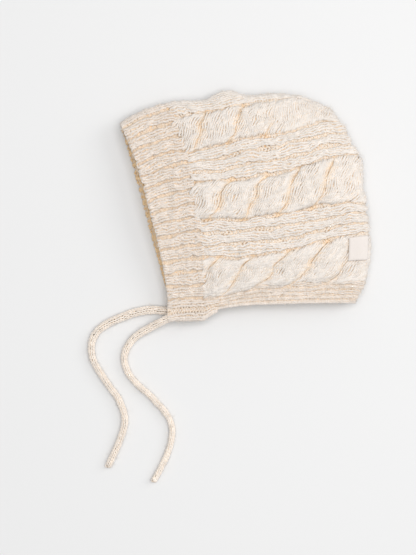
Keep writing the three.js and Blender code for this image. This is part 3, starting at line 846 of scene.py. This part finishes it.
# a closed shell between an outer and an inner sheet, each with the same rows and columns of points
def shellPiece(name, outer, inner, rows, columns, material, flip=False):
    count = rows * columns
    faces = []
    for r in range(rows - 1):
        for k in range(columns - 1):
            a, b = r * columns + k, (r + 1) * columns + k
            quad = (a, b, b + 1, a + 1) if flip else (a, a + 1, b + 1, b)
            faces.append(quad)
            faces.append(tuple(i + count for i in reversed(quad)))
    rim = ([r * columns for r in range(rows)]
           + [(rows - 1) * columns + k for k in range(1, columns)]
           + [r * columns + columns - 1 for r in range(rows - 2, -1, -1)]
           + [k for k in range(columns - 2, 0, -1)])
    for a, b in zip(rim, rim[1:] + rim[:1]):
        faces.append((b, a, a + count, b + count) if flip else (a, b, b + count, a + count))
    mesh = bpy.data.meshes.new(name)
    mesh.from_pydata([tuple(p / 1000) for p in np.concatenate([outer, inner])], [], faces)
    mesh.materials.append(material)
    mesh.shade_smooth()
    piece = bpy.data.objects.new(name, mesh)
    scene.collection.objects.link(piece)
    print(name, 2 * len(faces), "triangles")
    return piece


ground = {
    "cable": 0.3,         # in mm, lower under the cables
    "under": (0.1, 1.0),   # in mm below the middle of the yarn, on ridges and in valleys
    "tone": (-0.55, -2.2),  # painted shade: how deep its colour reads there, on ridges and in valleys
    "thickness": 0.5,
    "band": {"courses": (0.8, 14.97), "lastWale": 63.6},
    "body": {"courses": (15.03, 63.95), "lastWale": 59.2},
    "grid": {1: (96, 200), -1: (44, 70)},   # rows and columns, near and far layer
}


# the matted wool behind the stitches: a thin closed shell right under the yarn of one layer, its colour
# painted with shade that deepens in the valleys
def groundPiece(name, material, side, isBand):
    rows, columns = ground["grid"][side]
    rows = max(8, rows // 4) if isBand else rows
    extent = ground["band" if isBand else "body"]
    c, w = grid(*extent["courses"], rows, 0, extent["lastWale"], columns)
    relief = bandRelief(w) if isBand else bodyRelief(w, c)
    valley = smooth(0.3, -0.9, relief)
    ridgeUnder, valleyUnder = ground["under"]
    under = ridgeUnder + (valleyUnder - ridgeUnder) * valley + ground["cable"] * smooth(0.6, 1.6, relief)
    # painted shade: the ground reads deeper in colour in the valleys
    tone = ground["tone"][0] + (ground["tone"][1] - ground["tone"][0]) * valley
    outer, square = (bandPlace if isBand else bodyPlace)(w, c, -under, relief, side)
    piece = shellPiece(name, outer, outer - square * ground["thickness"], rows, columns, material, side < 0)
    setValues(piece.data, "deep", np.tile(tone, 2))
    setValues(piece.data, "tone", np.zeros(2 * len(tone)))
    return piece


label = {
    "courses": (56.1, 60.7),
    "wales": (43.3, 47.9),
    "grid": (20, 26),
    "lift": 1.5,          # in mm outside the middle of the fabric
    "thickness": 1.6,
    "thread": (0.885, 0.815, 0.765),
    "threads": {"X": 26, "Y": 34},   # about how many lie across the label
    "threadHeight": 0.0002,
    "roughness": 0.75,
    "sheen": 0.2,
}


def labelPiece():  # a small woven tab with folded, rounded edges, bare
    across, down = label["grid"]
    c, w = grid(*label["courses"], across, *label["wales"], down)
    u, v = grid(-1, 1, across, -1, 1, down)
    edge = np.maximum(np.abs(u), np.abs(v))
    half = label["thickness"] / 2 * (1 - 0.75 * np.clip((edge - 0.86) / 0.14, 0, 1) ** 2)
    curl = 0.25 * np.clip(np.abs(u) + np.abs(v) - 1.5, 0, 1)
    share = waleShare(w, depthOf(c))
    lift = label["lift"] + label["thickness"] / 2 + curl
    top, square = surface(c, share, 1, lift + half)
    bottom, square = surface(c, share, 1, lift - half)
    piece = shellPiece("wovenLabel", top, bottom, across, down, labelCloth())
    flat = np.stack([np.tile(u, 2), np.tile(v, 2), np.zeros(2 * len(u))], 1)
    place = piece.data.attributes.new("weave", "FLOAT_VECTOR", "POINT")
    place.data.foreach_set("vector", flat.astype(np.float32).ravel())
    return piece


def labelCloth():
    material, tree, shader = newMaterial("labelCloth", {
        "Roughness": label["roughness"], "Sheen Weight": label["sheen"],
    })
    place = newNode(tree, "ShaderNodeAttribute", attribute_name="weave")["Vector"]
    waves = [newNode(tree, "ShaderNodeTexWave", {"Vector": place, "Scale": count / 6.28, "Distortion": 0.6},
                     bands_direction=direction)["Fac"] for direction, count in label["threads"].items()]
    weave = newNode(tree, "ShaderNodeMath", {0: waves[0], 1: waves[1]}, operation="MULTIPLY")["Value"]
    # painted shade: the thread colour a tenth darker where the weave runs low between threads
    valley = [c * 0.9 for c in label["thread"]]
    mix = newNode(tree, "ShaderNodeMix", {"Factor": weave, "A": (*valley, 1), "B": (*label["thread"], 1)},
                  data_type="RGBA")
    dress(tree, shader, mix["Result"], weave, label["threadHeight"])
    return material


fuzz = {
    "nearHairs": 8500,
    "otherHairs": 2600,
    "length": 2.6,
    "radius": 0.055,
    "taper": (1.0, 1.0, 0.8, 0.45),
    "rise": (0.25, 0.9),   # how steeply hairs leave the yarn, then how they curl and droop
    "curl": 0.45,
    "droop": 0.22,
    "lowest": 0.15,       # in mm above the floor
    "seed": 19,
}


# short curled hairs that stand up from the yarn
def hairPiece(name, yarns, count, material, seed):
    pick = np.random.default_rng(seed)
    points = np.concatenate([np.concatenate(y.points) for y in yarns])
    normals = np.concatenate([np.concatenate(y.normals) for y in yarns])
    chosen = pick.choice(len(points), count, replace=False)
    start, normal = points[chosen], normals[chosen]
    aside = pick.normal(0, 1, (count, 3))
    aside -= normal * np.sum(aside * normal, axis=1)[:, None]
    aside /= np.linalg.norm(aside, axis=1)[:, None] + 1e-9
    heading = normal * pick.uniform(*fuzz["rise"], (count, 1)) + aside
    heading /= np.linalg.norm(heading, axis=1)[:, None]
    length = fuzz["length"] * pick.gamma(4.0, 0.25, (count, 1))
    place = start + normal * stitch["yarnRadius"] * 0.7
    lines = [place]
    steps = len(fuzz["taper"]) - 1
    for step in range(steps):
        place = place + heading * length / steps
        lines.append(place)
        heading = heading + pick.normal(0, fuzz["curl"], (count, 3)) - normal * fuzz["droop"]
        heading /= np.linalg.norm(heading, axis=1)[:, None]
    flow = np.stack(lines, 1).reshape(-1, 3)
    flow[:, 2] = np.maximum(flow[:, 2], fuzz["lowest"])
    hairs = Yarn()
    hairs.add(flow, np.zeros(len(flow)), np.full(len(flow), 0.6), steps + 1,
              np.repeat(normal, steps + 1, axis=0), np.tile(fuzz["taper"], count))
    return knitPiece(name, hairs, material, fuzz["radius"], 3)


treeOfYarn = yarnTree()
woolGroup = woolSurface()
bodyWool, shadedBandWool, litTieWool, hairWool = (woolMaterial(name) for name in wool["kinds"])
print("wool ready")

# camera and light, in metres
view = {
    "across": 0.2995,          # of surface across the picture
    "centre": (-0.0263, -0.0544),
    "height": 1.4,
    "level": 0.012,            # height of the outline above the surface
    "sensor": 36,
    "picture": (416, 555),
}
camera = bpy.data.objects.new("camera", bpy.data.cameras.new("camera"))
scene.collection.objects.link(camera)
camera.location = (*view["centre"], view["height"])
camera.data.sensor_fit = "VERTICAL"
camera.data.sensor_height = view["sensor"]
upPicture = view["across"] * view["picture"][1] / view["picture"][0]
camera.data.lens = view["sensor"] * (view["height"] - view["level"]) / upPicture
camera.data.clip_start = 0.05
scene.camera = camera

light = {
    "key": {"strength": 4.0, "size": 0.7, "place": (1.0, 0.35, 0.85)},
    "top": {"strength": 24.0, "size": 1.4, "place": (0.16, 0.05, 1.9)},
    "sky": 0.46,
}
for name in ("key", "top"):
    lamp = bpy.data.objects.new(name + "Light", bpy.data.lights.new(name + "Light", "AREA"))
    scene.collection.objects.link(lamp)
    lamp.data.energy = light[name]["strength"]
    lamp.data.size = light[name]["size"]
    lamp.location = light[name]["place"]
    aim = -np.array(light[name]["place"])
    turn = math.atan2(math.hypot(aim[0], aim[1]), -aim[2])
    lamp.rotation_euler = (turn, 0, math.atan2(aim[1], aim[0]) - math.pi / 2)
world = bpy.data.worlds.new("studio")
world.use_nodes = True
feed(world.node_tree, world.node_tree.nodes["Background"], {"Color": (1, 1, 1, 1), "Strength": light["sky"]})
scene.world = world

paper = {
    "half": 3,            # from the middle to each edge
    "level": -0.0002,
    "grey": 0.78,
    "roughness": 0.9,
}
floorMesh = bpy.data.meshes.new("floor")
floorMesh.from_pydata([(x * paper["half"], y * paper["half"], paper["level"])
                       for x, y in ((-1, -1), (1, -1), (1, 1), (-1, 1))], [], [(0, 1, 2, 3)])
floor = bpy.data.objects.new("floor", floorMesh)
scene.collection.objects.link(floor)
floorMesh.materials.append(newMaterial("paper", {
    "Base Color": (paper["grey"], paper["grey"], paper["grey"], 1), "Roughness": paper["roughness"],
})[0])
print("stage ready")

# ties first, then the knitted pieces
tieYarns = []
for name, node, route, size in (("nearTie", "near_tie", nearTieRoute, tieLook["nearSize"]),
                                ("farTie", "far_tie", farTieRoute, tieLook["farSize"])):
    strand = Yarn()
    length = tieYarn(strand, route, size)
    tie = knitPiece(name, strand, litTieWool, tieLook["yarnRadius"], tieLook["sides"])
    middleLine = alongRoute(route, length / 36)[0]
    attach(tie, "root")
    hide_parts(node)
    tieYarns.append(strand)
    print(name, "length", round(length, 1), "mm")

made = []   # each piece with the node that it replaces and its slot
yarns = {1: [], -1: []}


def knitted(name, yarn, material, node, slot, side, width=1.0):
    piece = knitPiece(name, yarn, material, stitch["yarnRadius"] * width, stitch["sides"][side])
    made.append((piece, node, slot))


def strandsOf(make, side):
    strands = Yarn()
    make(strands, side)
    yarns[side].append(strands)
    return strands


for side, word in ((1, "Near"), (-1, "Far")):
    knitted("faceBand" + word, strandsOf(bandYarn, side), shadedBandWool, "ribbed_face_band", "band_yarn", side)
print("face band ready")

nearBody, farBody = strandsOf(bodyYarn, 1), strandsOf(bodyYarn, -1)
split = stitch["splitCourse"]
for name, strands, side in (("crownNearFront", nearBody.rowsBetween(0, split), 1),
                            ("crownNearBack", nearBody.rowsBetween(split, 99), 1),
                            ("crownFar", farBody, -1)):
    knitted(name, strands, bodyWool, "cable_crown", "crown_yarn", side)
print("crown ready")

neck = Yarn()
for side in (1, -1):
    neck.takeIn(strandsOf(neckYarn, side))
knitted("neckBand", neck, shadedBandWool, "neck_band", "neck_yarn", -1, stitch["edgeWidth"])
gather = Yarn()
joinYarn(gather)
yarns[1].append(gather)
knitted("tieJoin", gather, shadedBandWool, "neck_band", "neck_yarn", 1, stitch["edgeWidth"])
print("neck edge ready")

for side, word in ((1, "Near"), (-1, "Far")):
    made.append((groundPiece("bandGround" + word, shadedBandWool, side, True), "ribbed_face_band", "band_yarn"))
    made.append((groundPiece("crownGround" + word, bodyWool, side, False), "cable_crown", "crown_yarn"))
for name, hairy, count, seed in (("nearFuzz", yarns[1], fuzz["nearHairs"], fuzz["seed"]),
                                 ("otherFuzz", yarns[-1] + tieYarns, fuzz["otherHairs"], fuzz["seed"] + 1)):
    made.append((hairPiece(name, hairy, count, hairWool, seed), "cable_crown", "crown_yarn"))
made.append((labelPiece(), "woven_label", "label_cloth"))
print("label ready")
for piece, node, slot in made:
    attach(piece, "root")
    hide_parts(node)
